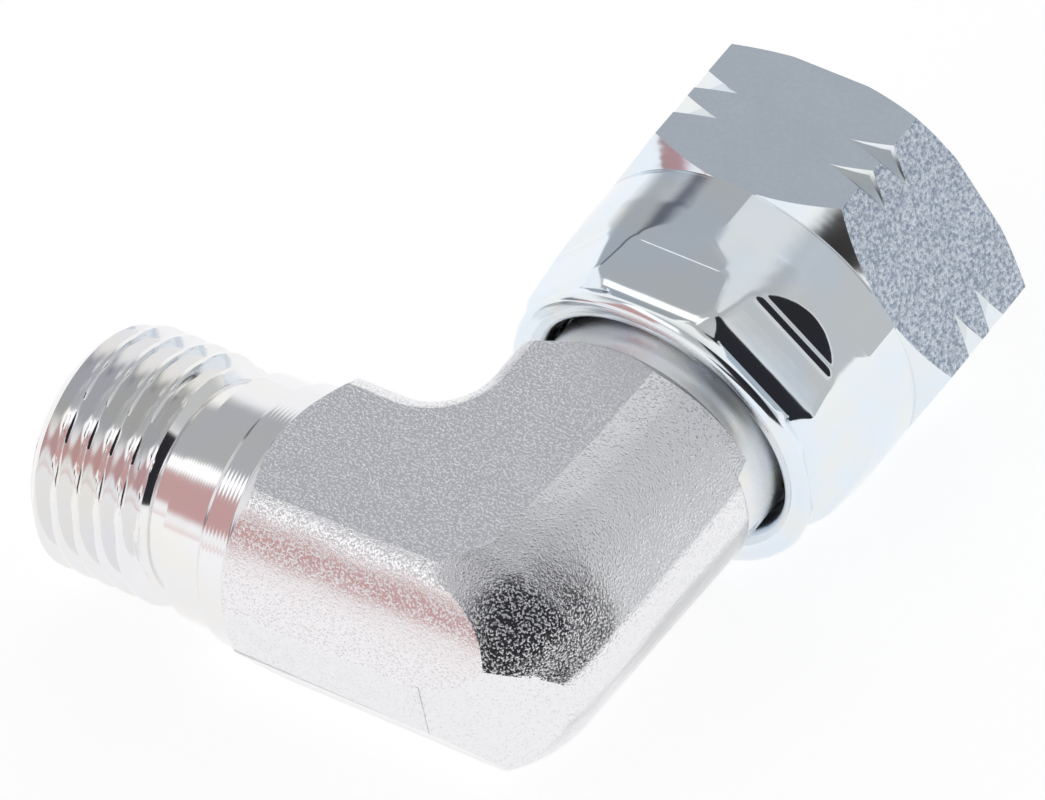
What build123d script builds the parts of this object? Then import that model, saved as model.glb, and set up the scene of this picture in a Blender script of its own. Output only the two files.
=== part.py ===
from build123d import *
import math
import os

# Ninety degree swivel elbow for hydraulic hose, G 1/4 thread on both ports.
# Millimetres and degrees. The origin is where the two port axes cross. The male
# port points along -X, the swivel nut along +Y, and Z is square to both axes.

# Thread and flow passage, shared by both ports
thread_major_d = 13.157
thread_minor_d = 11.445
flow_bore_d = 5.5
seat_angle = 60.0
drill_point_angle = 118.0

# Male port, measured back from its end face
male_reach = 25.0
male_end_d = 11.4
male_seat_mouth_d = 9.8
male_thread_length = 7.1
male_relief_d = 11.2
male_relief_length = 1.7
male_shank_length = 11.0
male_collar_d = 13.9
male_collar_length = 1.75

# Forged knee: a drop forging with a plain band at its parting line, two flat
# faces square to Z and drafted sides between them. It sits a little off the
# machined axes, towards the inside of the bend. The blank runs on past both
# machined ends, and each turned end runs a little way into it.
forging_thickness = 14.0
forging_half_width = 7.45
male_arm_flare = 0.2
band_height = 3.2
draft_angle = 29.5
forging_shift_x = -0.5
forging_shift_y = 0.25
drafted_corner_r = 3.6
band_corner_r = 7.4
inner_corner_r = 0.4
flat_edge_fillet = 1.1
shoulder_angle = 45.0
blank_overrun = 1.0
turned_root = 1.0

# Outer side of the knee and of the nut arm: a ball round the corner, and a
# barrel that widens from it towards the nut. Each crown is how far the round
# would stand above the flat faces.
barrel_axis_x = -1.0
barrel_turn_y = -1.4
barrel_root_crown = 0.35
barrel_tip_crown = 0.75
nut_arm_reach = 12.0

# Turned tail of the body, carried inside the nut
tail_d = 13.6
retaining_collar_d = 15.2
retaining_collar_length = 3.6
collar_chamfer = 0.3
nose_d = 10.6
nose_tip_d = 8.2
nose_parallel = 0.6

# Swivel nut, placed along the nut axis by its front and rear faces
nut_across_flats = 19.0
nut_front = 30.65
nut_rear = 12.95
nut_turn = 1.93
nut_face_d = 19.5
nut_face_chamfer_angle = 30.0
nut_mouth_d = 13.8
nut_thread_length = 6.5
nut_thread_relief_d = 13.8
corner_groove_places = (27.2, 25.3)
corner_groove_bottom_d = 20.12
corner_groove_angle = 70.0
nut_barrel_d = 19.16
nut_shoulder_rear = 21.9
nut_shoulder_angle = 50.4
turning_overcut = 0.2
swivel_clearance = 0.08
swivel_end_play = 0.15
retaining_ramp_angle = 45.0

# Crimped skirt of the nut: flats pressed by the jaws, a hollow and a rolled rim
skirt_bend = 19.6
skirt_rear = 14.9
skirt_rear_d = 18.5
jaw_count = 8
jaw_turn = 1.0
jaw_width = 6.35
jaw_ramp_start = 18.6
jaw_ramp_end = 17.45
jaw_ramp_end_distance = 9.16
jaw_ridge = 17.15
jaw_ridge_distance = 9.2
jaw_front = 16.75
jaw_front_distance = 8.95
jaw_rear = 14.2
jaw_rear_distance = 8.5
rim_hollow = 14.05
rim_hollow_d = 17.24
rim_crest = 13.45
rim_crest_d = 17.6
rim_rear_d = 17.0
rim_mouth_d = 14.6
rim_mouth_depth = 0.6
lip_d = 14.0
lip_length = 1.95

# Radii and places that follow from those sizes
flow_r = flow_bore_d / 2
thread_r = thread_major_d / 2
tail_r = tail_d / 2
collar_r = retaining_collar_d / 2
nose_r = nose_d / 2
lip_r = lip_d / 2
cavity_r = collar_r + swivel_clearance
nut_relief_r = nut_thread_relief_d / 2
bore_r = thread_minor_d / 2
hex_corner_r = nut_across_flats / 2 / math.cos(math.radians(30.0))
seat_slope = math.tan(math.radians(seat_angle / 2))
ramp_slope = math.tan(math.radians(retaining_ramp_angle))
shoulder_slope = math.tan(math.radians(shoulder_angle))
drill_tip = flow_r / math.tan(math.radians(drill_point_angle / 2))

male_end = -male_reach
relief_start = male_end + male_thread_length
relief_end = relief_start + male_relief_length
relief_depth = thread_r - male_relief_d / 2
shank_end = male_end + male_shank_length
collar_end = shank_end + male_collar_length

# The shoulder is cut until it clears the widest corner of the forging
half_thickness = forging_thickness / 2
half_band = band_height / 2
side_height = half_thickness - half_band
draft_inset = side_height * math.tan(math.radians(draft_angle))
shoulder_rise = forging_half_width / 2
shoulder_run = shoulder_rise / shoulder_slope
forging_left = forging_shift_x - forging_half_width
forging_right = forging_shift_x + forging_half_width
forging_front = forging_shift_y - forging_half_width
forging_back = forging_shift_y + forging_half_width
blank_start = collar_end - draft_inset - blank_overrun
blank_end = nut_arm_reach + draft_inset + blank_overrun
barrel_root_r = half_thickness + barrel_root_crown
barrel_widening = (barrel_tip_crown - barrel_root_crown) / (nut_arm_reach - barrel_turn_y)
barrel_end_r = barrel_root_r + barrel_widening * (blank_end - barrel_turn_y)
barrel_cut_r = forging_half_width + half_thickness

# The nut's lip and the body's collar meet behind the collar with a little end play
lip_front = lip_length + nut_rear
cavity_start = lip_front + (cavity_r - lip_r) / ramp_slope
collar_ramp_start = lip_front + swivel_end_play - (lip_r - tail_r) / ramp_slope
collar_ramp_end = collar_ramp_start + (collar_r - tail_r) / ramp_slope
collar_front = collar_ramp_end + retaining_collar_length
cavity_end = collar_front + swivel_end_play
nose_start = collar_front + nose_parallel
nose_tip = nose_start + (nose_r - nose_tip_d / 2) / seat_slope

# Turning cuts on the nut reach just past its widest place
turning_r = max(hex_corner_r, nut_barrel_d / 2) + turning_overcut
groove_depth = turning_r - corner_groove_bottom_d / 2
groove_half_width = groove_depth * math.tan(math.radians(corner_groove_angle / 2))
face_chamfer_drop = (turning_r - nut_face_d / 2) * math.tan(math.radians(nut_face_chamfer_angle))
shoulder_length = (turning_r - nut_barrel_d / 2) / math.tan(math.radians(nut_shoulder_angle))
thread_start = nut_front - (nut_mouth_d / 2 - bore_r)
thread_end = thread_start - nut_thread_length

os.makedirs("parts", exist_ok=True)


# Body: forged knee with machined ends, one piece
with BuildPart() as body:
    # Plan of the forging at its parting band, run on past both ends
    with BuildSketch(Plane.XY.offset(half_band)) as band_plan:
        with BuildLine():
            Polyline(
                (blank_start, forging_front - male_arm_flare),
                (forging_right, forging_front),
                (forging_right, blank_end),
                (forging_left, blank_end),
                (forging_left, forging_back),
                (blank_start, forging_back),
                close=True,
            )
        make_face()
        outer_corner = band_plan.vertices().sort_by(lambda v: v.X - v.Y)[-1]
        fillet(outer_corner, drafted_corner_r)
        inner_corner = band_plan.vertices().group_by(Axis.Y)[-2].sort_by(Axis.X)[-1]
        fillet(inner_corner, inner_corner_r)
    extrude(amount=-half_band)
    extrude(band_plan.sketch, amount=side_height, taper=draft_angle)
    upper_flat = body.faces().sort_by(Axis.Z)[-1]
    fillet(upper_flat.edges(), flat_edge_fillet)

    # Outer corner: what lies outside a ball on the barrel's axis
    with BuildSketch(Plane.XZ.offset(-barrel_turn_y)):
        with BuildLine():
            CenterArc((barrel_axis_x, 0), barrel_root_r, 0, 90)
            Polyline(
                (barrel_axis_x, barrel_root_r),
                (barrel_axis_x, barrel_cut_r),
                (barrel_axis_x + barrel_cut_r, barrel_cut_r),
                (barrel_axis_x + barrel_cut_r, 0),
                (barrel_axis_x + barrel_root_r, 0),
            )
        make_face()
    revolve(
        axis=Axis((barrel_axis_x, barrel_turn_y, 0), (0, 0, -1)),
        revolution_arc=90,
        mode=Mode.SUBTRACT,
    )

    # Outer side of the nut arm: what lies outside the barrel
    with BuildSketch(Plane.XY):
        with BuildLine():
            Polyline(
                (barrel_axis_x + barrel_root_r, barrel_turn_y),
                (barrel_axis_x + barrel_end_r, blank_end),
                (barrel_axis_x + barrel_cut_r, blank_end),
                (barrel_axis_x + barrel_cut_r, barrel_turn_y),
                close=True,
            )
        make_face()
    revolve(
        axis=Axis((barrel_axis_x, 0, 0), (0, -1, 0)),
        revolution_arc=90,
        mode=Mode.SUBTRACT,
    )
    mirror(about=Plane.XY)

    # The trimmed band runs round the outer corner on a larger radius
    with BuildSketch(Plane.XY) as trimmed_corner:
        with Locations((forging_right - band_corner_r, forging_front + band_corner_r)):
            Rectangle(band_corner_r, band_corner_r, align=(Align.MIN, Align.MAX))
            Circle(band_corner_r, mode=Mode.SUBTRACT)
    extrude(amount=half_thickness, both=True, mode=Mode.SUBTRACT)

    # Both machined ends are cut back from the forging with a chamfered shoulder
    with BuildSketch(Plane.XY):
        with BuildLine():
            Polyline(
                (blank_start, 0),
                (collar_end, 0),
                (collar_end, male_collar_d / 2),
                (collar_end + shoulder_run, male_collar_d / 2 + shoulder_rise),
                (blank_start, male_collar_d / 2 + shoulder_rise),
                close=True,
            )
        make_face()
    revolve(axis=Axis.X, mode=Mode.SUBTRACT)
    with BuildSketch(Plane.XY):
        with BuildLine():
            Polyline(
                (0, blank_end),
                (0, nut_arm_reach),
                (tail_r, nut_arm_reach),
                (tail_r + shoulder_rise, nut_arm_reach - shoulder_run),
                (tail_r + shoulder_rise, blank_end),
                close=True,
            )
        make_face()
    revolve(axis=Axis.Y, mode=Mode.SUBTRACT)

    # Male port: lead-in chamfer, threaded length, relief groove, shank and collar
    with BuildSketch(Plane.XY):
        with BuildLine():
            Polyline(
                (male_end, 0),
                (male_end, male_end_d / 2),
                (male_end + thread_r - male_end_d / 2, thread_r),
                (relief_start, thread_r),
                (relief_start + relief_depth / 4, male_relief_d / 2),
                (relief_end - relief_depth / 2, male_relief_d / 2),
                (relief_end, thread_r),
                (shank_end, thread_r),
                (shank_end + male_collar_d / 2 - thread_r, male_collar_d / 2),
                (collar_end + turned_root, male_collar_d / 2),
                (collar_end + turned_root, 0),
                close=True,
            )
        make_face()
    revolve(axis=Axis.X)

    # Tail inside the nut: neck, ramp that the nut's lip pulls on, collar and cone nose
    with BuildSketch(Plane.XY):
        with BuildLine():
            Polyline(
                (0, nut_arm_reach - turned_root),
                (tail_r, nut_arm_reach - turned_root),
                (tail_r, collar_ramp_start),
                (collar_r, collar_ramp_end),
                (collar_r, collar_front - collar_chamfer),
                (collar_r - collar_chamfer, collar_front),
                (nose_r, collar_front),
                (nose_r, nose_start),
                (nose_tip_d / 2, nose_tip),
                (0, nose_tip),
                close=True,
            )
        make_face()
    revolve(axis=Axis.Y)

    # Cone seat and flow bore drilled from the male end, to just past the crossing
    with BuildSketch(Plane.XY):
        with BuildLine():
            Polyline(
                (male_end, 0),
                (male_end, male_seat_mouth_d / 2),
                (male_end + (male_seat_mouth_d / 2 - flow_r) / seat_slope, flow_r),
                (flow_r, flow_r),
                (flow_r + drill_tip, 0),
                close=True,
            )
        make_face()
    revolve(axis=Axis.X, mode=Mode.SUBTRACT)

    # Flow bore drilled from the nose
    with BuildSketch(Plane.XY):
        with BuildLine():
            Polyline(
                (0, nose_tip),
                (flow_r, nose_tip),
                (flow_r, -flow_r),
                (0, -flow_r - drill_tip),
                close=True,
            )
        make_face()
    revolve(axis=Axis.Y, mode=Mode.SUBTRACT)

body.part.label = "elbow_body"
export_step(body.part, "parts/elbow_body.step")


# Swivel nut: hexagon bar turned, grooved, bored and crimped, one piece
nut_plane = Plane(origin=(0, nut_rear, 0), x_dir=(1, 0, 0), z_dir=(0, 1, 0))
with BuildPart() as nut:
    with BuildSketch(nut_plane):
        RegularPolygon(nut_across_flats / 2, 6, major_radius=False, rotation=nut_turn)
    extrude(amount=nut_front - nut_rear)

    # Turned section: face chamfer, shoulder and barrel, bent-in skirt with its
    # rim, lip behind the body's collar, swivel cavity, relief and thread bore
    with BuildSketch(Plane.XY):
        with BuildLine():
            Polyline(
                (lip_r, rim_mouth_depth + nut_rear),
                (lip_r, lip_front),
                (cavity_r, cavity_start),
                (cavity_r, cavity_end),
                (nut_relief_r, cavity_end + (cavity_r - nut_relief_r) / ramp_slope),
                (nut_relief_r, thread_end),
                (bore_r, thread_end),
                (bore_r, thread_start),
                (nut_mouth_d / 2, nut_front),
                (nut_face_d / 2, nut_front),
                (turning_r, nut_front - face_chamfer_drop),
                (turning_r, nut_shoulder_rear + shoulder_length),
                (nut_barrel_d / 2, nut_shoulder_rear),
                (nut_barrel_d / 2, skirt_bend),
                (skirt_rear_d / 2, skirt_rear),
                (rim_hollow_d / 2, rim_hollow),
                (rim_crest_d / 2, rim_crest),
                (rim_rear_d / 2, nut_rear),
                (rim_mouth_d / 2, nut_rear),
                close=True,
            )
        make_face()
    revolve(axis=Axis.Y, mode=Mode.INTERSECT)

    # Two marking grooves turned across the corners of the hexagon
    for groove_place in corner_groove_places:
        with BuildSketch(Plane.XY):
            with BuildLine():
                Polyline(
                    (corner_groove_bottom_d / 2, groove_place),
                    (turning_r, groove_place + groove_half_width),
                    (turning_r, groove_place - groove_half_width),
                    close=True,
                )
            make_face()
        revolve(axis=Axis.Y, mode=Mode.SUBTRACT)

    # Prints of the crimping jaws: a lead-in ramp, a raised ridge and a leaning flat
    for jaw in range(jaw_count):
        jaw_angle = jaw_turn + jaw * 360.0 / jaw_count
        jaw_plane = Plane.YZ.rotated((0, jaw_angle, 0))
        with BuildSketch(jaw_plane):
            with BuildLine():
                Polyline(
                    (jaw_rear, jaw_rear_distance),
                    (jaw_front, jaw_front_distance),
                    (jaw_ridge, jaw_ridge_distance),
                    (jaw_ramp_end, jaw_ramp_end_distance),
                    (jaw_ramp_start, nut_barrel_d / 2),
                    (jaw_ramp_start, turning_r),
                    (jaw_rear, turning_r),
                    close=True,
                )
            make_face()
        extrude(amount=jaw_width / 2, both=True, mode=Mode.SUBTRACT)

nut.part.label = "swivel_nut"
export_step(nut.part, "parts/swivel_nut.step")
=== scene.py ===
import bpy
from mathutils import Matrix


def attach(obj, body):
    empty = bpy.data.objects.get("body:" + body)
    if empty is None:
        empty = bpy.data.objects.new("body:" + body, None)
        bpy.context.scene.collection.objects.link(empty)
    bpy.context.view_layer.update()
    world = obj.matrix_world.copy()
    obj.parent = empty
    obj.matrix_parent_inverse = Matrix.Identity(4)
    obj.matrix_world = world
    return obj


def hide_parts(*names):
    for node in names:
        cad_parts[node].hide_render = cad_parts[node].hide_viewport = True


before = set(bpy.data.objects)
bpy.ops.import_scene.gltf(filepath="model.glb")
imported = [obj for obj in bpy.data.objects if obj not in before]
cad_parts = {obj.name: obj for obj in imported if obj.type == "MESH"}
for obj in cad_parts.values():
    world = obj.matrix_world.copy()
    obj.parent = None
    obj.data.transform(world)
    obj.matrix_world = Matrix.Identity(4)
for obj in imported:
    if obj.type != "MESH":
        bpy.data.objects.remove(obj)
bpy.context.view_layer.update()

import math

import bmesh
import bpy
import numpy as np
from mathutils import Matrix, Vector

# Ninety degree swivel elbow, zinc plated steel, both threads G 1/4.
# The frame is that of the solids: male port along -X, nut along +Y. Blender works in metres;
# the sizes in this file are in millimetres, and mm turns them into metres.

mm = 0.001
print("frame loaded:", sorted(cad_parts))


# Colours and nodes

def hexColour(text):
    # sRGB hex to linear: c / 12.92 below 0.04045, else ((c + 0.055) / 1.055) ^ 2.4
    channels = [int(text[i:i + 2], 16) / 255 for i in (1, 3, 5)]
    linear = [c / 12.92 if c <= 0.04045 else ((c + 0.055) / 1.055) ** 2.4 for c in channels]
    return (*linear, 1.0)


def addNode(tree, kind, settings=None):
    # A key is an option of the node, or the name or number of an input. A value that is
    # another node's output is linked, any other is set. Gives the new node's outputs
    node = tree.nodes.new("ShaderNode" + kind)
    for key, value in (settings or {}).items():
        if isinstance(value, bpy.types.NodeSocket):
            tree.links.new(value, node.inputs[key])
        elif isinstance(key, str) and hasattr(node, key):
            setattr(node, key, value)
        else:
            node.inputs[key].default_value = value
    return node.outputs


def newMaterial(name):
    material = bpy.data.materials.new(name)
    material.use_nodes = True
    material.node_tree.nodes.clear()
    return material, material.node_tree


# Materials. All are bright zinc over steel: a white metal with the grain of whatever
# shaped the steel underneath. The nut was plated in another bath and is a little bluer.

zinc = dict(
    body="#F0F0F2",
    nut="#E6EFF7",
    cream="#F1EFE6",           # where the passive film is thin
    nutPaintedShade="#9FABBD",        # painted shade among the crystals of the two mottled flats
    roughnessMachined=0.10,
    roughnessForged=0.13,
    roughnessMark=0.20,        # in the forging's shot marks
    roughnessDrawn=0.15,
    roughnessThread=0.09,
    roughnessTail=0.28,
)


def zincMetal(tree, colour, normal, roughness):
    # The plating itself, joined to the material's output
    metal = addNode(tree, "BsdfPrincipled", {
        "Metallic": 1.0, "Base Color": colour, "Roughness": roughness, "Normal": normal})[0]
    addNode(tree, "OutputMaterial", {"Surface": metal})


forging = dict(
    grain=0.075, grainDepth=0.010,         # frosted ground
    mark=0.13, markDepth=0.018,            # sparse shot marks
    markFrom=0.50, markTo=0.73,            # where in the noise a mark begins and is full
    wave=3.0, waveDepth=0.07,              # the skin as it left the die
    rollFoot=2.6, rollTop=6.44,            # heights between which the sides roll over
    rollDraft=0.566, rollEdge=0.93, rollRim=0.80,
    flatHold=8.0,                          # how soon a leaning face is no longer a flat
    wallUpright=0.05, sideUpright=0.20,    # upright part of the normal: band's wall, drafted side
    easePlace=-1.4, easeReach=6.0,         # where the ball of the corner runs into the barrel
    easeTilt=0.34,
)


def easedSideways(tree, spot, normal):
    # The Y part of the normal. The corner eases into the barrel: on its outer side the normal
    # leans towards -Y, most at easePlace and not at all easeReach away
    offCorner = addNode(tree, "Math", {
        "operation": "SUBTRACT", 0: spot["Y"], 1: forging["easePlace"] * mm})[0]
    distance = addNode(tree, "Math", {"operation": "ABSOLUTE", 0: offCorner})[0]
    nearCorner = addNode(tree, "MapRange", {
        "interpolation_type": "SMOOTHSTEP", "Value": distance,
        "From Min": 0.0, "From Max": forging["easeReach"] * mm,
        "To Min": forging["easeTilt"], "To Max": 0.0})[0]
    outer = addNode(tree, "Math", {"operation": "MAXIMUM", 0: normal["X"], 1: 0.0})[0]
    lean = addNode(tree, "Math", {"operation": "MULTIPLY", 0: nearCorner, 1: outer})[0]
    return addNode(tree, "Math", {"operation": "SUBTRACT", 0: normal["Y"], 1: lean})[0]


def rolledUpwards(tree, spot, normal):
    # The Z part of the normal. The sides roll over into the flats. With h the level part of the
    # normal and u from 0 at rollFoot to 1 at rollTop, the upright part becomes the larger of
    # 1 - hold h and h (draft + (edge + rim (1 - h)) u u). On the band's upright wall it stays 0
    upright = addNode(tree, "Math", {"operation": "ABSOLUTE", 0: normal["Z"]})[0]
    square = addNode(tree, "Math", {"operation": "MULTIPLY", 0: upright, 1: upright})[0]
    levelSquare = addNode(tree, "Math", {"operation": "SUBTRACT", 0: 1.0, 1: square})[0]
    level = addNode(tree, "Math", {"operation": "SQRT", 0: levelSquare})[0]
    height = addNode(tree, "Math", {"operation": "ABSOLUTE", 0: spot["Z"]})[0]
    upSide = addNode(tree, "MapRange", {
        "Value": height, "From Min": forging["rollFoot"] * mm, "From Max": forging["rollTop"] * mm,
        "To Min": 0.0, "To Max": 1.0})[0]
    offLevel = addNode(tree, "Math", {"operation": "SUBTRACT", 0: 1.0, 1: level})[0]
    rim = addNode(tree, "Math", {"operation": "MULTIPLY", 0: forging["rollRim"], 1: offLevel})[0]
    bend = addNode(tree, "Math", {"operation": "ADD", 0: forging["rollEdge"], 1: rim})[0]
    upSquare = addNode(tree, "Math", {"operation": "POWER", 0: upSide, 1: 2.0})[0]
    rise = addNode(tree, "Math", {"operation": "MULTIPLY", 0: bend, 1: upSquare})[0]
    slope = addNode(tree, "Math", {"operation": "ADD", 0: forging["rollDraft"], 1: rise})[0]
    onSide = addNode(tree, "Math", {"operation": "MULTIPLY", 0: level, 1: slope})[0]
    held = addNode(tree, "Math", {"operation": "MULTIPLY", 0: level, 1: forging["flatHold"]})[0]
    onFlat = addNode(tree, "Math", {"operation": "SUBTRACT", 0: 1.0, 1: held})[0]
    larger = addNode(tree, "Math", {"operation": "MAXIMUM", 0: onSide, 1: onFlat})[0]
    offWall = addNode(tree, "MapRange", {
        "Value": upright, "From Min": forging["wallUpright"], "From Max": forging["sideUpright"],
        "To Min": 0.0, "To Max": 1.0})[0]
    raised = addNode(tree, "Math", {"operation": "MULTIPLY", 0: larger, 1: offWall})[0]
    half = addNode(tree, "Math", {"operation": "SIGN", 0: spot["Z"]})[0]
    return addNode(tree, "Math", {"operation": "MULTIPLY", 0: raised, 1: half})[0]


def forgedZincMaterial():
    # Shot blasted forging, zinc plated: steep marks on a finely frosted ground, so dark parts
    # get bright flecks and bright parts dark ones. The skin is a little wavy
    material, tree = newMaterial("zincOnShotBlastedForging")
    place = addNode(tree, "TexCoord")["Object"]
    spot = addNode(tree, "SeparateXYZ", {0: place})
    facing = addNode(tree, "NewGeometry")["Normal"]
    normal = addNode(tree, "SeparateXYZ", {0: facing})
    rolledOver = addNode(tree, "CombineXYZ", {
        "X": normal["X"],
        "Y": easedSideways(tree, spot, normal),
        "Z": rolledUpwards(tree, spot, normal)})[0]
    skin = addNode(tree, "VectorMath", {"operation": "NORMALIZE", 0: rolledOver})[0]
    for layer in ("wave", "grain"):
        clouds = addNode(tree, "TexNoise", {
            "Vector": place, "Scale": 1 / (forging[layer] * mm), "Detail": 1.0, "Roughness": 0.5})["Fac"]
        skin = addNode(tree, "Bump", {
            "Strength": 1.0, "Height": clouds, "Distance": forging[layer + "Depth"] * mm,
            "Normal": skin})[0]
    specks = addNode(tree, "TexNoise", {
        "Vector": place, "Scale": 1 / (forging["mark"] * mm), "Detail": 1.5, "Roughness": 0.55})["Fac"]
    marks = addNode(tree, "MapRange", {
        "interpolation_type": "SMOOTHSTEP", "Value": specks,
        "From Min": forging["markFrom"], "From Max": forging["markTo"],
        "To Min": 0.0, "To Max": 1.0})[0]
    blasted = addNode(tree, "Bump", {
        "Strength": 1.0, "Height": marks, "Distance": forging["markDepth"] * mm, "Normal": skin})[0]
    roughness = addNode(tree, "MapRange", {
        "Value": marks, "From Min": 0.0, "From Max": 1.0,
        "To Min": zinc["roughnessForged"], "To Max": zinc["roughnessMark"]})[0]
    zincMetal(tree, hexColour(zinc["body"]), blasted, roughness)
    return material


def cloudedPlating(tree, place, finish, under, roughness):
    # Faint waves in the plating, over the normal under them. Where they are high it is rougher.
    # Most of a noise pattern lies between 0.3 and 0.7
    cloud = addNode(tree, "TexNoise", {
        "Vector": place, "Scale": 1 / (finish["cloud"] * mm), "Detail": 2.0, "Roughness": 0.5})["Fac"]
    wavy = addNode(tree, "Bump", {
        "Strength": 1.0, "Height": cloud, "Distance": finish["cloudDepth"] * mm, "Normal": under})[0]
    tone = addNode(tree, "MapRange", {
        "Value": cloud, "From Min": 0.3, "From Max": 0.7,
        "To Min": roughness * finish["smoothest"], "To Max": roughness * finish["roughest"]})[0]
    return wavy, tone


turning = dict(
    waver=0.25, waverDetail=1.0, waverScale=0.6,   # the rings are not quite even
    cloud=2.4, cloudDepth=0.02,
    smoothest=0.8, roughest=1.25,                  # times the material's roughness
    film=3.4,                                      # patches where the passive film is thin
    filmFrom=0.40, filmTo=0.65, filmShare=0.5,
)


def turnedZincMaterial(name, colour, along, spacing, depth, roughness=zinc["roughnessMachined"]):
    # Turned steel, zinc plated: rings left by the tool at an even feed, so light draws
    # out into bands round the axis. A wave texture repeats every 2 pi / (20 * scale) metres
    material, tree = newMaterial(name)
    place = addNode(tree, "TexCoord")["Object"]
    feed = addNode(tree, "TexWave", {
        "wave_type": "BANDS", "bands_direction": along, "wave_profile": "SIN", "Vector": place,
        "Scale": 2 * math.pi / (20 * spacing * mm), "Distortion": turning["waver"],
        "Detail": turning["waverDetail"], "Detail Scale": turning["waverScale"]})["Fac"]
    ringed = addNode(tree, "Bump", {"Strength": 1.0, "Height": feed, "Distance": depth * mm})[0]
    rolled, tone = cloudedPlating(tree, place, turning, ringed, roughness)
    patches = addNode(tree, "TexNoise", {
        "Vector": place, "Scale": 1 / (turning["film"] * mm), "Detail": 1.0, "Roughness": 0.5})["Fac"]
    film = addNode(tree, "MapRange", {
        "Value": patches, "From Min": turning["filmFrom"], "From Max": turning["filmTo"],
        "To Min": 0.0, "To Max": turning["filmShare"]})[0]
    tinted = addNode(tree, "Mix", {
        "data_type": "RGBA", 0: film, 6: hexColour(colour), 7: hexColour(zinc["cream"])})[2]
    zincMetal(tree, tinted, rolled, tone)
    return material


drawing = dict(
    crystal=0.23, paintedShadeFrom=0.38, paintedShadeTo=0.60,   # mottle, and where in the noise the painted shade is dark
    cloud=2.8, cloudDepth=0.03,
    smoothest=0.75, roughest=1.3,                     # times the material's roughness
)


def drawnZincMaterial(name, mottleDepth, shade):
    # Cold drawn hexagon bar, zinc plated: nearly flat, with the mottle of the zinc's
    # crystals. Among them the colour is darkened by shade: painted shade, standing in for the grey these
    # flats reflect
    material, tree = newMaterial(name)
    place = addNode(tree, "TexCoord")["Object"]
    crystals = addNode(tree, "TexNoise", {
        "Vector": place, "Scale": 1 / (drawing["crystal"] * mm), "Detail": 3.0, "Roughness": 0.7})["Fac"]
    mottled = addNode(tree, "Bump", {
        "Strength": 1.0, "Height": crystals, "Distance": mottleDepth * mm})[0]
    rolled, tone = cloudedPlating(tree, place, drawing, mottled, zinc["roughnessDrawn"])
    # Painted shade: the colour darkens among the crystals, by shade
    between = addNode(tree, "MapRange", {
        "Value": crystals, "From Min": drawing["paintedShadeFrom"], "From Max": drawing["paintedShadeTo"],
        "To Min": shade, "To Max": 0.0})[0]
    colour = addNode(tree, "Mix", {
        "data_type": "RGBA", 0: between, 6: hexColour(zinc["nut"]), 7: hexColour(zinc["nutPaintedShade"])})[2]
    zincMetal(tree, colour, rolled, tone)
    return material


# Turned ones: colour, axis, spacing and depth of the rings, and roughness where it isn't the usual
forgedZinc = forgedZincMaterial()
turnedPort = turnedZincMaterial("zincOnTurnedPort", zinc["body"], "X", 0.16, 0.0005)
ringedPort = turnedZincMaterial("zincOnRingedCollar", zinc["body"], "X", 0.22, 0.004)
turnedTail = turnedZincMaterial("zincOnTurnedTail", zinc["body"], "Y", 0.18, 0.0005, zinc["roughnessTail"])
turnedNut = turnedZincMaterial("zincOnTurnedNut", zinc["nut"], "Y", 0.20, 0.0003)
ringedNut = turnedZincMaterial("zincOnRingedShoulder", zinc["nut"], "Y", 0.24, 0.0005)
crimpedSkirt = turnedZincMaterial("zincOnCrimpedSkirt", zinc["nut"], "Y", 0.20, 0.0002)
cutThread = turnedZincMaterial("zincOnCutThread", zinc["body"], "X", 0.30, 0.0004, zinc["roughnessThread"])
# Both flat materials carry painted shade among the crystals: faint on the drawn flats, full on the two
# mottled ones
drawnFlat = drawnZincMaterial("zincOnDrawnHexagon", 0.003, 0.06)
mottledFlatPaintedShade = drawnZincMaterial("zincOnMottledHexagonPaintedShade", 0.020, 1.0)
print("materials made")


# Copies of the solids, and cutting them

weldReach = 1e-7       # metres: points nearer than this are one point
copySliver = 1e-8      # metres: edges shorter than this are closed up in a fresh copy
cutSliver = 1e-7       # and after cutting


def linkedObject(name, data):
    placed = bpy.data.objects.new(name, data)
    bpy.context.scene.collection.objects.link(placed)
    return placed


def closedObject(name, points, faces, material):
    # A cutter of one material, its points in mm
    mesh = bpy.data.meshes.new(name)
    mesh.from_pydata((points * mm).tolist(), [], faces)
    mesh.materials.append(material)
    made = bmesh.new()
    made.from_mesh(mesh)
    bmesh.ops.recalc_face_normals(made, faces=made.faces)
    made.to_mesh(mesh)
    made.free()
    return linkedObject(name, mesh)


def ringObject(name, axis, turns, along, radius, material):
    # Closed ring round an axis. along and radius have one row per step round and one column
    # per point of the ring's section, in mm; turn 0 faces +Y round the X axis, +Z round the Y axis
    turnGrid = np.broadcast_to(turns[:, None], radius.shape)
    if axis == "X":
        points = np.stack([along, radius * np.cos(turnGrid), radius * np.sin(turnGrid)], axis=-1)
    else:
        points = np.stack([radius * np.sin(turnGrid), along, radius * np.cos(turnGrid)], axis=-1)
    index = np.arange(radius.size).reshape(radius.shape)
    nextRow = np.roll(index, -1, axis=0)
    faces = np.stack([index, np.roll(index, -1, axis=1), np.roll(nextRow, -1, axis=1), nextRow], axis=-1)
    return closedObject(name, points.reshape(-1, 3), faces.reshape(-1, 4).tolist(), material)


def sweepUp(piece, sliver, stage):
    # Joins points that lie together, closes up slivers without area, drops points left over
    made = bmesh.new()
    made.from_mesh(piece.data)
    bmesh.ops.remove_doubles(made, verts=made.verts, dist=weldReach)
    bmesh.ops.dissolve_degenerate(made, edges=made.edges, dist=sliver)
    loose = [vertex for vertex in made.verts if not vertex.link_faces]
    bmesh.ops.delete(made, geom=loose, context="VERTS")
    openEdges = sum(1 for edge in made.edges if len(edge.link_faces) != 2)
    made.to_mesh(piece.data)
    made.free()
    print(piece.name, stage + ",", len(piece.data.polygons), "faces,", openEdges, "open edges")


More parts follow.
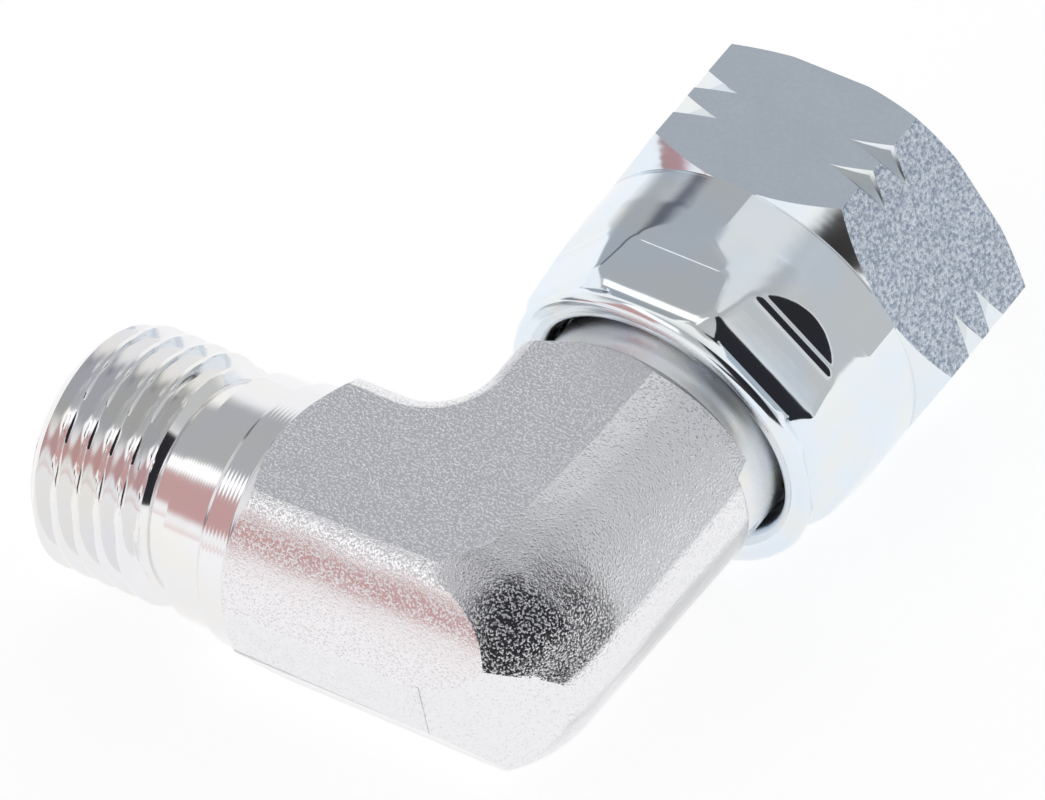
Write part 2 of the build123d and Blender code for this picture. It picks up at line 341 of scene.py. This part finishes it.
def mergedCopy(node, name, materials):
    # The solid's mesh is loose triangles: the copy has them joined, and its normals are worked out anew
    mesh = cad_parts[node].data.copy()
    mesh.name = name
    for stored in ("custom_normal", "sharp_edge", "sharp_face"):
        if stored in mesh.attributes:
            mesh.attributes.remove(mesh.attributes[stored])
    piece = linkedObject(name, mesh)
    sweepUp(piece, copySliver, "copied")
    mesh.materials.clear()
    for material in materials:
        mesh.materials.append(material)
    return piece


def applyModifiers(piece):
    view = bpy.context.evaluated_depsgraph_get()
    mesh = bpy.data.meshes.new_from_object(piece.evaluated_get(view))
    mesh.name = piece.name
    piece.modifiers.clear()
    piece.data = mesh


def cutAway(piece, cutter):
    # The cut faces get the cutter's material
    cut = piece.modifiers.new("cut", "BOOLEAN")
    cut.operation = "DIFFERENCE"
    cut.solver = "EXACT"
    cut.object = cutter
    cut.material_mode = "TRANSFER"
    applyModifiers(piece)
    bpy.data.objects.remove(cutter)


# Shading normals

acrossOf = {0: [1, 2], 1: [0, 2]}   # the two directions across X, and across Y
turnedSlack = 0.08                  # slope round the axis that a turned face may have
nothing = 1e-6                      # mm: shorter vectors have no direction


def softenEdges(piece, sharpAngle):
    # Smooth shading up to sharpAngle, with large flat faces ruling the normals at their rims
    mesh = piece.data
    mesh.polygons.foreach_set("use_smooth", np.ones(len(mesh.polygons), bool))
    mesh.set_sharp_from_angle(angle=math.radians(sharpAngle))
    weighted = piece.modifiers.new("flatFacesRule", "WEIGHTED_NORMAL")
    weighted.keep_sharp = True
    weighted.weight = 100
    applyModifiers(piece)


def readNumbers(items, attribute, kind=np.int32):
    numbers = np.empty(len(items), kind)
    items.foreach_get(attribute, numbers)
    return numbers


def readVectors(items, attribute):
    vectors = np.empty(len(items) * 3, np.float32)
    items.foreach_get(attribute, vectors)
    return vectors.reshape(-1, 3)


def faceCentresAndNormals(mesh):
    return readVectors(mesh.polygons, "center") / mm, readVectors(mesh.polygons, "normal")


def cornerArrays(mesh):
    # For every face corner: its place in mm, its shading normal, and its face's number, slot,
    # centre in mm and normal
    places = readVectors(mesh.vertices, "co")[readNumbers(mesh.loops, "vertex_index")] / mm
    shading = readVectors(mesh.corner_normals, "vector")
    sizes = readNumbers(mesh.polygons, "loop_total")
    faceOf = np.repeat(np.arange(len(sizes)), sizes)
    slots = readNumbers(mesh.polygons, "material_index")
    centres, faceNormals = faceCentresAndNormals(mesh)
    return places, shading, faceOf, slots[faceOf], centres[faceOf], faceNormals[faceOf]


def mostOfFace(values, faceOf):
    # For every corner, the largest value among the corners of its face
    most = np.full(faceOf[-1] + 1, -np.inf, np.float32)
    np.maximum.at(most, faceOf, values)
    return most[faceOf]


def unitOf(vectors):
    return vectors / np.maximum(np.linalg.norm(vectors, axis=1), nothing)[:, None]


def normalsOfTurning(corners, faceNormals, centres, axis):
    # A turned face keeps its own slope along the axis, and each of its corners points
    # straight out from (or in to) the axis
    across = acrossOf[axis]
    outward = corners.copy()
    outward[:, axis] = 0
    slope = faceNormals[:, axis]
    side = np.sign((faceNormals[:, across] * centres[:, across]).sum(axis=1))
    normals = unitOf(outward) * (np.sqrt(np.maximum(1 - slope ** 2, 0)) * side)[:, None]
    normals[:, axis] = slope
    return normals


def isTurned(faceNormals, centres, axis):
    # True where a face has no slope round the axis
    across = acrossOf[axis]
    outward = unitOf(centres[:, across])
    sideways = faceNormals[:, across[0]] * outward[:, 1] - faceNormals[:, across[1]] * outward[:, 0]
    return np.abs(sideways) < turnedSlack


# Threads: cut out of the copies

thread = dict(
    pitch=1.337,           # 19 threads to the inch
    crestRadius=6.5785,
    rootRadius=5.7225,
    flankHalfAngle=27.5,   # 55 degree form, rounded at crest and root
    rounding=0.25,
    stepsPerPitch=18,
)


def threadHeight(phase):
    # 1 at the crest, 0 at the root: a straight flank between two short rests, eased a
    # little into both. phase is the part of a turn from the nearest crest, -0.5 to 0.5
    depth = thread["crestRadius"] - thread["rootRadius"]
    flankRun = depth * math.tan(math.radians(thread["flankHalfAngle"]))
    rest = thread["pitch"] / 2 - flankRun
    offCrest = np.abs(phase) * thread["pitch"]
    straight = np.clip((thread["pitch"] / 2 - rest / 2 - offCrest) / flankRun, 0, 1)
    eased = straight * straight * (3 - 2 * straight)
    return (1 - thread["rounding"]) * straight + thread["rounding"] * eased


def threadCutter(name, axis, port):
    # Ring of swarf, with sizes of the elbow's or the nut's. Its threaded wall is
    # r(turn, along) = root + depth * height(phase), phase = (along - crestPlace) / pitch
    # - turn / full turn; its plain wall is at cutterRadius. A run-out cuts the last turn
    # down to a 45 degree cone
    turns = np.linspace(0, 2 * np.pi, port["stepsRound"], endpoint=False)
    pitches = (port["threadEnd"] - port["threadStart"]) / thread["pitch"]
    steps = int(round(pitches * thread["stepsPerPitch"]))
    along = np.linspace(port["threadStart"], port["threadEnd"], steps + 1)
    turnGrid, alongGrid = np.meshgrid(turns, along, indexing="ij")
    phase = (alongGrid - port["crestPlace"]) / thread["pitch"] - turnGrid / (2 * np.pi)
    phase = phase - np.round(phase)
    depth = thread["crestRadius"] - thread["rootRadius"]
    radius = thread["rootRadius"] + depth * threadHeight(phase)
    if "runOutPlace" in port:
        cone = port["runOutRadius"] + np.maximum(port["runOutPlace"] - alongGrid, 0)
        onCone = alongGrid < port["runOutPlace"] + port["runOutPast"]
        radius = np.where(onCone, np.minimum(radius, cone), radius)
    # The ring's section runs along the threaded wall and back along the plain one
    plain = np.full((len(turns), 2), port["cutterRadius"])
    back = np.tile([port["threadEnd"], port["threadStart"]], (len(turns), 1))
    return ringObject(name, axis, turns, np.concatenate([alongGrid, back], axis=1),
                      np.concatenate([radius, plain], axis=1), cutThread)


# Elbow body

elbow = dict(
    threadStart=-25.6,       # before the end face
    threadEnd=-17.3,         # inside the relief groove
    crestPlace=-23.55,       # a crest on the side that faces +Y
    cutterRadius=7.6,
    stepsRound=300,
    runOutPlace=-17.64,      # where the last turn's cone meets the groove's floor
    runOutRadius=5.66,
    runOutPast=0.1,
    collarPlace=-14.0,       # the collar is ringed from here
    shoulderPlace=-12.27,    # to here, where it meets the forging
    tailPlace=12.0,          # and the neck starts here
    coneReach=2.5,           # both ends are turned to a cone this far into the forging
    coneSlack=0.02,
    boreRadius=2.9,          # just wider than the bores
    portBoreEnd=3.0,         # x
    tailBoreEnd=-4.5,        # y
    ballCentre=(-1.0, -1.4, 0.0),
    ballRadius=7.35,
    ballSlack=0.004,
    ballStart=0.01,          # the ball is seen from this far before its centre's x
    barrelRadius=7.2,        # the barrel side lies outside this
    barrelFacing=0.05,       # and faces +X at least this much
    trimCentre=(-0.45, 0.2, 0.0),
    trimRadius=7.4,
    trimSkin=0.02,           # the band's wall is recut this far inside the solid's
    trimLift=0.08,           # and starts this far out, past the side's wall
    liftFade=11.0,           # per radian: the lift is gone after 5 degrees
    trimSlack=0.09,
    trimUpright=0.03,
    flashSteps=60,
    flashRadius=9.5,
    flashHeight=4.0,
    sharpAngle=32,
)
forgedSlot, portSlot, tailSlot, collarSlot = range(4)


def slotsOfElbow(mesh):
    centres, normals = faceCentresAndNormals(mesh)
    x, y, z = centres.T
    cone = math.sqrt(0.5)
    portCone = np.abs(normals[:, 0] + cone) < elbow["coneSlack"]
    portCone &= x < elbow["shoulderPlace"] + elbow["coneReach"]
    tailCone = np.abs(normals[:, 1] - cone) < elbow["coneSlack"]
    tailCone &= y > elbow["tailPlace"] - elbow["coneReach"]
    slots = np.full(len(x), forgedSlot, np.int32)
    slots[x < elbow["shoulderPlace"]] = portSlot
    slots[tailCone] = tailSlot
    slots[portCone | ((x > elbow["collarPlace"]) & (x < elbow["shoulderPlace"]))] = collarSlot
    slots[y > elbow["tailPlace"]] = tailSlot
    slots[(np.hypot(y, z) < elbow["boreRadius"]) & (x < elbow["portBoreEnd"])] = portSlot
    slots[(np.hypot(x, z) < elbow["boreRadius"]) & (y > elbow["tailBoreEnd"])] = tailSlot
    return slots


def trueElbowNormals(mesh):
    # The solids' round faces are coarse; their corners get the normals of the true surfaces
    corners, normals, faceOf, slot, centre, faceNormal = cornerArrays(mesh)
    turnedX = (slot == portSlot) | (slot == collarSlot)
    for axis, wanted in ((0, turnedX), (1, slot == tailSlot)):
        chosen = wanted & isTurned(faceNormal, centre, axis)
        normals[chosen] = normalsOfTurning(corners[chosen], faceNormal[chosen], centre[chosen], axis)
    ballCentre = np.array(elbow["ballCentre"], np.float32)
    ballEnd = elbow["ballCentre"][1]   # the ball turns into the barrel here
    fromBall = corners - ballCentre
    away = np.linalg.norm(fromBall, axis=1)
    onBall = (slot == forgedSlot) & (centre[:, 1] < ballEnd)
    onBall &= mostOfFace(np.abs(away - elbow["ballRadius"]), faceOf) < elbow["ballSlack"]
    onBall &= mostOfFace(-fromBall[:, 0], faceOf) < elbow["ballStart"]
    normals[onBall] = fromBall[onBall] / away[onBall, None]
    fromAxis = centre - ballCentre
    onBarrel = (slot == forgedSlot) & (centre[:, 1] > ballEnd) & (fromAxis[:, 0] > 0)
    onBarrel &= np.hypot(fromAxis[:, 0], fromAxis[:, 2]) > elbow["barrelRadius"]
    onBarrel &= isTurned(faceNormal, fromAxis, 1) & (faceNormal[:, 0] > elbow["barrelFacing"])
    normals[onBarrel] = normalsOfTurning(fromBall[onBarrel], faceNormal[onBarrel], fromAxis[onBarrel], 1)
    fromTrim = corners - np.array(elbow["trimCentre"], np.float32)
    fromTrim[:, 2] = 0
    away = np.linalg.norm(fromTrim, axis=1)
    onTrim = (slot == forgedSlot) & (np.abs(faceNormal[:, 2]) < elbow["trimUpright"])
    onTrim &= mostOfFace(np.abs(away - elbow["trimRadius"]), faceOf) < elbow["trimSlack"]
    normals[onTrim] = fromTrim[onTrim] / away[onTrim, None]
    mesh.normals_split_custom_set(normals.tolist())


def bandCutter():
    # Quarter ring of flash outside the band's rounded corner, from -Y round to +X. Its inner
    # wall is r = radius - skin * sin(2 turn) + lift * (1 - fade * turn)^2, without the last term
    # once fade * turn is past 1, so it runs out into the straight walls
    turns = np.linspace(0, np.pi / 2, elbow["flashSteps"] + 1)
    inner = elbow["trimRadius"] - elbow["trimSkin"] * np.sin(2 * turns)
    inner += elbow["trimLift"] * np.clip(1 - elbow["liftFade"] * turns, 0, 1) ** 2
    middle = np.array(elbow["trimCentre"])
    outward = np.stack([np.sin(turns), -np.cos(turns), 0 * turns], axis=1)
    innerEdge = middle + outward * inner[:, None]
    outerEdge = middle + outward * elbow["flashRadius"]
    up = np.array([0.0, 0.0, elbow["flashHeight"]])
    sections = np.stack([innerEdge - up, innerEdge + up, outerEdge + up, outerEdge - up], axis=1)
    points = sections.reshape(-1, 3)
    last = len(points) - 4
    faces = [[start + k, start + (k + 1) % 4, start + (k + 1) % 4 + 4, start + k + 4]
             for k in range(4) for start in range(0, last, 4)]
    faces += [[3, 2, 1, 0], [last, last + 1, last + 2, last + 3]]
    return closedObject("flashOfForging", points, faces, forgedZinc)


def makeElbow():
    piece = mergedCopy("elbow_body", "elbowVisible", (forgedZinc, turnedPort, turnedTail, ringedPort))
    piece.data.polygons.foreach_set("material_index", slotsOfElbow(piece.data))
    cutAway(piece, bandCutter())
    cutAway(piece, threadCutter("swarfOfPort", "X", elbow))
    sweepUp(piece, cutSliver, "swept")
    softenEdges(piece, elbow["sharpAngle"])
    trueElbowNormals(piece.data)
    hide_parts("elbow_body")
    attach(piece, "elbow")
    print("elbow made,", len(piece.data.polygons), "faces")
    return piece


# Swivel nut

nut = dict(
    threadStart=22.9,        # inside the relief behind the thread
    threadEnd=30.9,          # past the front face
    crestPlace=29.3,         # a crest of the mating thread on the side that faces +Z
    cutterRadius=5.2,
    stepsRound=120,
    hexStart=22.2,
    hexRadius=9.2,           # the hexagon lies outside this
    hexTurn=1.93,            # degrees
    flatFacing=0.999,
    mottledPaintedShadeSides=(1, 4),     # of six, counted from +Z towards +X: the flats with full painted shade
    shoulderStart=21.9,
    shoulderEnd=23.6,
    shoulderFacing=-0.5,     # the shoulder faces -Y at least this much
    skirtFront=21.8,         # the worked skirt ends just behind the shoulder
    skirtSkin=0.02,          # and lies this far inside the solid
    skirtStepsRound=640,
    skirtRows=104,
    rounding=1.6,            # in steps of the skirt's grid
    roundingReach=5,
    jaws=8,
    jawTurn=1.0,             # degrees
    scrapRear=12.4,
    scrapBore=6.9,
    scrapRadius=12.5,
    sharpAngle=30,
)
turnedSlot, drawnSlot, mottledPaintedShadeSlot, shoulderSlot = range(4)

# Sections of the skirt, front to rear: y and radius
turnedOutline = [(22.5, 9.58), (19.6, 9.58), (14.9, 9.25), (14.05, 8.62), (13.45, 8.79)]
rolledRim = [(13.22, 8.64), (13.07, 8.44), (13.0, 8.12), (13.03, 7.8), (13.18, 7.5),
             (13.45, 7.26), (13.8, 7.11), (14.2, 7.03), (14.5, 6.9)]
# A jaw's print: lead-in ramp, raised ridge, pressed flat, hollow, rear edge
jawPrint = [(22.5, 11.0), (19.0, 9.75), (18.6, 9.58), (17.45, 9.08),
            (17.22, 9.10), (17.05, 8.97),
            (16.75, 8.91), (16.2, 8.835), (15.7, 8.75), (15.2, 8.66), (14.85, 8.59),
            (14.5, 8.46), (14.2, 8.26),
            (13.85, 8.45), (13.4, 9.4)]


def slotsOfNut(mesh):
    centres, normals = faceCentresAndNormals(mesh)
    x, y, z = centres.T
    slots = np.full(len(centres), turnedSlot, np.int32)
    onHexagon = (y > nut["hexStart"]) & (np.hypot(x, z) > nut["hexRadius"])
    for side in range(6):
        angle = math.radians(nut["hexTurn"] + 60 * side)
        facing = normals @ np.array([math.sin(angle), 0, math.cos(angle)], np.float32)
        # The two mottled flats get the material with full painted shade
        flatSlot = mottledPaintedShadeSlot if side in nut["mottledPaintedShadeSides"] else drawnSlot
        slots[onHexagon & (facing > nut["flatFacing"])] = flatSlot
    onShoulder = (y > nut["shoulderStart"]) & (y < nut["shoulderEnd"])
    slots[onShoulder & (normals[:, 1] < nut["shoulderFacing"])] = shoulderSlot
    return slots


def roundedOver(grid):
    # Blurs each way over the neighbours: the rows go round, the columns end level
    reach = nut["roundingReach"]
    steps = np.arange(-reach, reach + 1)
    weights = np.exp(-0.5 * (steps / nut["rounding"]) ** 2)
    weights /= weights.sum()
    blurred = sum(weight * np.roll(grid, step, axis=0) for step, weight in zip(steps, weights))
    padded = np.pad(blurred, ((0, 0), (reach, reach)), mode="edge")
    columns = grid.shape[1]
    return sum(weight * padded[:, reach + step:reach + step + columns]
               for step, weight in zip(steps, weights))


def skirtCutter():
    # Ring whose inner wall is the crimped skirt: r(turn, y) is the smaller of the turned
    # outline and the nearest jaw's print, distance(y) / cos(turn from the jaw), then
    # rounded over its neighbours wherever that lies further in
    yOutline, rOutline = np.array(turnedOutline[::-1]).T
    yJaw, rJaw = np.array(jawPrint[::-1]).T
    yRows = np.linspace(nut["skirtFront"], turnedOutline[-1][0], nut["skirtRows"])
    turns = np.linspace(0, 2 * np.pi, nut["skirtStepsRound"], endpoint=False)
    jawSpacing = 2 * np.pi / nut["jaws"]
    fromJaw = (turns - math.radians(nut["jawTurn"])) % jawSpacing
    fromJaw = np.minimum(fromJaw, jawSpacing - fromJaw)
    exact = np.minimum(np.interp(yRows, yOutline, rOutline)[None, :],
                       np.interp(yRows, yJaw, rJaw)[None, :] / np.cos(fromJaw)[:, None])
    wall = np.minimum(roundedOver(exact), exact) - nut["skirtSkin"]
    closing = [(nut["scrapRear"], nut["scrapBore"]), (nut["scrapRear"], nut["scrapRadius"]),
               (nut["skirtFront"], nut["scrapRadius"])]
    yRest, rRest = np.array(rolledRim + closing).T
    along = np.tile(np.concatenate([yRows, yRest]), (len(turns), 1))
    radius = np.concatenate([wall, np.tile(rRest, (len(turns), 1))], axis=1)
    return ringObject("scrapOfSkirt", "Y", turns, along, radius, crimpedSkirt)


def trueNutNormals(mesh):
    corners, normals, faceOf, slot, centre, faceNormal = cornerArrays(mesh)
    flat = (slot == drawnSlot) | (slot == mottledPaintedShadeSlot)
    normals[flat] = faceNormal[flat]
    turned = ((slot == turnedSlot) | (slot == shoulderSlot)) & (centre[:, 1] > nut["skirtFront"])
    turned &= isTurned(faceNormal, centre, 1)
    normals[turned] = normalsOfTurning(corners[turned], faceNormal[turned], centre[turned], 1)
    mesh.normals_split_custom_set(normals.tolist())


def makeNut():
    piece = mergedCopy("swivel_nut", "nutVisible", (turnedNut, drawnFlat, mottledFlatPaintedShade, ringedNut))
    piece.data.polygons.foreach_set("material_index", slotsOfNut(piece.data))
    cutAway(piece, skirtCutter())
    cutAway(piece, threadCutter("swarfOfNut", "Y", nut))
    sweepUp(piece, cutSliver, "swept")
    softenEdges(piece, nut["sharpAngle"])
    trueNutNormals(piece.data)
    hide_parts("swivel_nut")
    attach(piece, "nut")
    print("nut made,", len(piece.data.polygons), "faces")
    return piece


elbowPiece = makeElbow()
nutPiece = makeNut()


# Floor: a white sweep that touches the nut, the male end and the knee, where the part rests

floor = dict(
    up=(0.037, 0.110, 0.993),
    halfSize=900.0,
    glow=0.80,
    roughness=0.9,
    paper="#9C9C9C",
    light="#FFFFFF",
)


def makeFloor():
    up = Vector(floor["up"]).normalized()
    lowest = min(min(up.dot(vertex.co) for vertex in piece.data.vertices)
                 for piece in (elbowPiece, nutPiece))
    sideways = up.orthogonal().normalized()
    away = up.cross(sideways)
    corners = [up * lowest + (sideways * a + away * b) * floor["halfSize"] * mm
               for a, b in ((-1, -1), (1, -1), (1, 1), (-1, 1))]
    mesh = bpy.data.meshes.new("floor")
    mesh.from_pydata(corners, [], [(0, 1, 2, 3)])
    sheet = linkedObject("floor", mesh)
    material, tree = newMaterial("whitePaperSweep")
    paper = addNode(tree, "BsdfPrincipled", {
        "Base Color": hexColour(floor["paper"]), "Roughness": floor["roughness"],
        "Emission Color": hexColour(floor["light"]), "Emission Strength": floor["glow"]})[0]
    addNode(tree, "OutputMaterial", {"Surface": paper})
    mesh.materials.append(material)


makeFloor()
print("floor laid")


# Studio light: a pale dome with soft cards, placed by azimuth from -Y towards +X and by
# elevation, in degrees. Their colours are linear light levels

dome = dict(
    low=(1.0, 1.0, 1.0, 1.0),
    high=(0.50, 0.505, 0.52, 1.0),
    turnPlace=38.0,        # elevation where the white walls give way to the ceiling
    turnSoft=30.0,
)
cards = dict(
    greyCeiling=dict(azimuth=-108, elevation=52, width=88, height=34, soft=12, colour=(0.45, 0.46, 0.485)),
    whiteBox=dict(azimuth=172, elevation=60, width=70, height=20, soft=10, colour=(0.80, 0.81, 0.82)),
    rightWall=dict(azimuth=126, elevation=14, width=50, height=60, soft=12, colour=(0.58, 0.59, 0.61)),
    leftShade=dict(azimuth=-114, elevation=16, width=30, height=26, soft=16, colour=(0.42, 0.44, 0.47)),
    darkStrip=dict(azimuth=-121, elevation=32, width=22, height=12, soft=9, colour=(0.14, 0.15, 0.18)),
    keyBox=dict(azimuth=-30, elevation=54, width=62, height=15, soft=6, colour=(1.25, 1.25, 1.25)),
    redCard=dict(azimuth=-36, elevation=32, width=34, height=27, soft=7, colour=(0.60, 0.37, 0.36)),
    pinkWall=dict(azimuth=-26, elevation=-1, width=40, height=20, soft=8, colour=(0.86, 0.71, 0.70)),
    darkFlag=dict(azimuth=64, elevation=28, width=64, height=78, soft=5, colour=(0.025, 0.025, 0.03)),
    darkFoot=dict(azimuth=26, elevation=9, width=34, height=26, soft=6, colour=(0.04, 0.035, 0.035)),
    redFoot=dict(azimuth=-55, elevation=3, width=16, height=22, soft=6, colour=(0.50, 0.29, 0.29)),
    darkCorner=dict(azimuth=-67, elevation=4, width=16, height=18, soft=6, colour=(0.18, 0.18, 0.20)),
    lowFlag=dict(azimuth=92, elevation=-16, width=34, height=24, soft=6, colour=(0.08, 0.08, 0.085)),
)


def bandOf(tree, measure, centre, size, soft):
    # 1 within size / 2 degrees of centre, 0 outside it, with an edge soft degrees wide
    off = addNode(tree, "Math", {"operation": "SUBTRACT", 0: measure, 1: float(centre)})[0]
    wrapped = addNode(tree, "Math", {"operation": "WRAP", 0: off, 1: -180.0, 2: 180.0})[0]
    far = addNode(tree, "Math", {"operation": "ABSOLUTE", 0: wrapped})[0]
    return addNode(tree, "MapRange", {
        "interpolation_type": "SMOOTHSTEP", "Value": far,
        "From Min": size / 2 - soft / 2, "From Max": size / 2 + soft / 2,
        "To Min": 1.0, "To Max": 0.0})[0]


def makeDome():
    world = bpy.data.worlds.new("studio")
    bpy.context.scene.world = world
    world.use_nodes = True
    tree = world.node_tree
    tree.nodes.clear()
    direction = addNode(tree, "TexCoord")["Generated"]
    parts = addNode(tree, "SeparateXYZ", {0: direction})
    upward = addNode(tree, "Math", {"operation": "ARCSINE", 0: parts["Z"]})[0]
    elevation = addNode(tree, "Math", {"operation": "DEGREES", 0: upward})[0]
    front = addNode(tree, "Math", {"operation": "MULTIPLY", 0: parts["Y"], 1: -1.0})[0]
    around = addNode(tree, "Math", {"operation": "ARCTAN2", 0: parts["X"], 1: front})[0]
    azimuth = addNode(tree, "Math", {"operation": "DEGREES", 0: around})[0]
    rise = addNode(tree, "MapRange", {
        "interpolation_type": "SMOOTHSTEP", "Value": elevation,
        "From Min": dome["turnPlace"] - dome["turnSoft"] / 2,
        "From Max": dome["turnPlace"] + dome["turnSoft"] / 2, "To Min": 0.0, "To Max": 1.0})[0]
    colour = addNode(tree, "Mix", {"data_type": "RGBA", 0: rise, 6: dome["low"], 7: dome["high"]})[2]
    for card in cards.values():
        across = bandOf(tree, azimuth, card["azimuth"], card["width"], card["soft"])
        upright = bandOf(tree, elevation, card["elevation"], card["height"], card["soft"])
        share = addNode(tree, "Math", {"operation": "MULTIPLY", 0: across, 1: upright})[0]
        colour = addNode(tree, "Mix", {
            "data_type": "RGBA", 0: share, 6: colour, 7: (*card["colour"], 1.0)})[2]
    light = addNode(tree, "Background", {"Strength": 1.0, "Color": colour})[0]
    addNode(tree, "OutputWorld", {"Surface": light})


makeDome()
bpy.context.scene.view_settings.view_transform = "Standard"
print("studio lit")


# Camera: a long lens, turned a little about its own axis

camera = dict(
    spot=(183.246, -188.997, 289.919),
    aim=(-2.816, 7.146, 6.804),
    roll=-12.364,          # degrees
    lens=277.69,
    sensor=36.0,
    nearest=10.0,
    farthest=10000.0,
)


def makeCamera():
    data = bpy.data.cameras.new("camera")
    data.sensor_width = camera["sensor"]
    data.lens = camera["lens"]
    data.clip_start = camera["nearest"] * mm
    data.clip_end = camera["farthest"] * mm
    spot = Vector(camera["spot"]) * mm
    away = (spot - Vector(camera["aim"]) * mm).normalized()
    level = Vector((0, 0, 1)).cross(away).normalized()
    upright = away.cross(level)
    turned = Matrix((level, upright, away)).transposed().to_4x4()
    holder = linkedObject("camera", data)
    holder.matrix_world = (Matrix.Translation(spot) @ turned
                           @ Matrix.Rotation(math.radians(camera["roll"]), 4, "Z"))
    bpy.context.scene.camera = holder


makeCamera()
print("camera set")
